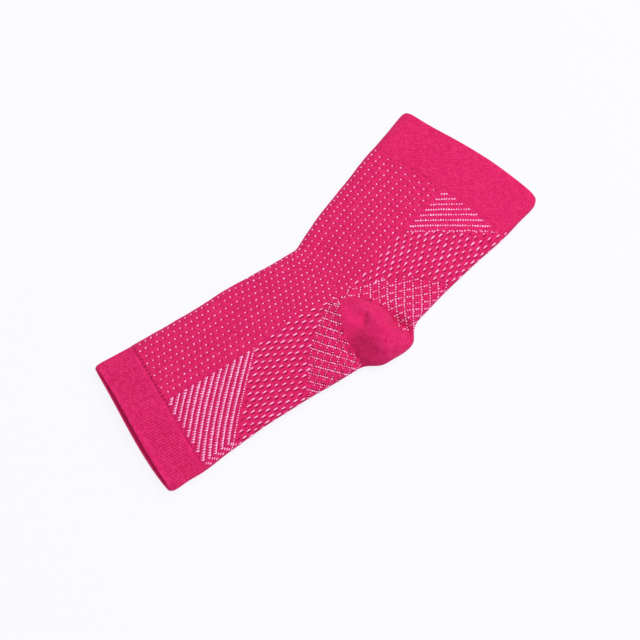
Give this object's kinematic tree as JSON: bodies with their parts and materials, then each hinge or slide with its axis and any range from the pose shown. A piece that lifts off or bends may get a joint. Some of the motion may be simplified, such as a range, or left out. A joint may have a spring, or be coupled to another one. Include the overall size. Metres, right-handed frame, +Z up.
{
  "type": "foot compression sleeve",
  "caption": "Open-toe knitted foot and ankle compression sleeve lying flat on its side, with a ribbed toe cuff, a heel pouch, a patterned body and a plain ankle cuff.",
  "frame": {"origin": "under the middle of the lying sleeve, on the surface it lies on", "axes": "+X along the foot from the toe mouth towards the ankle, +Y towards the instep fold, +Z up from the surface"},
  "size_m": [0.244, 0.112, 0.0136],
  "materials": {
    "toe_rib_knit": "matte ribbed knit",
    "body_knit": "matte jacquard knit with pale stitches",
    "heel_knit": "matte plain knit",
    "ankle_knit": "matte fine knit"
  },
  "bodies": {
    "root": {"toe_cuff": "toe_rib_knit", "sleeve_body": "body_knit", "heel_pocket": "heel_knit", "ankle_cuff": "ankle_knit"}
  },
  "joints": []
}
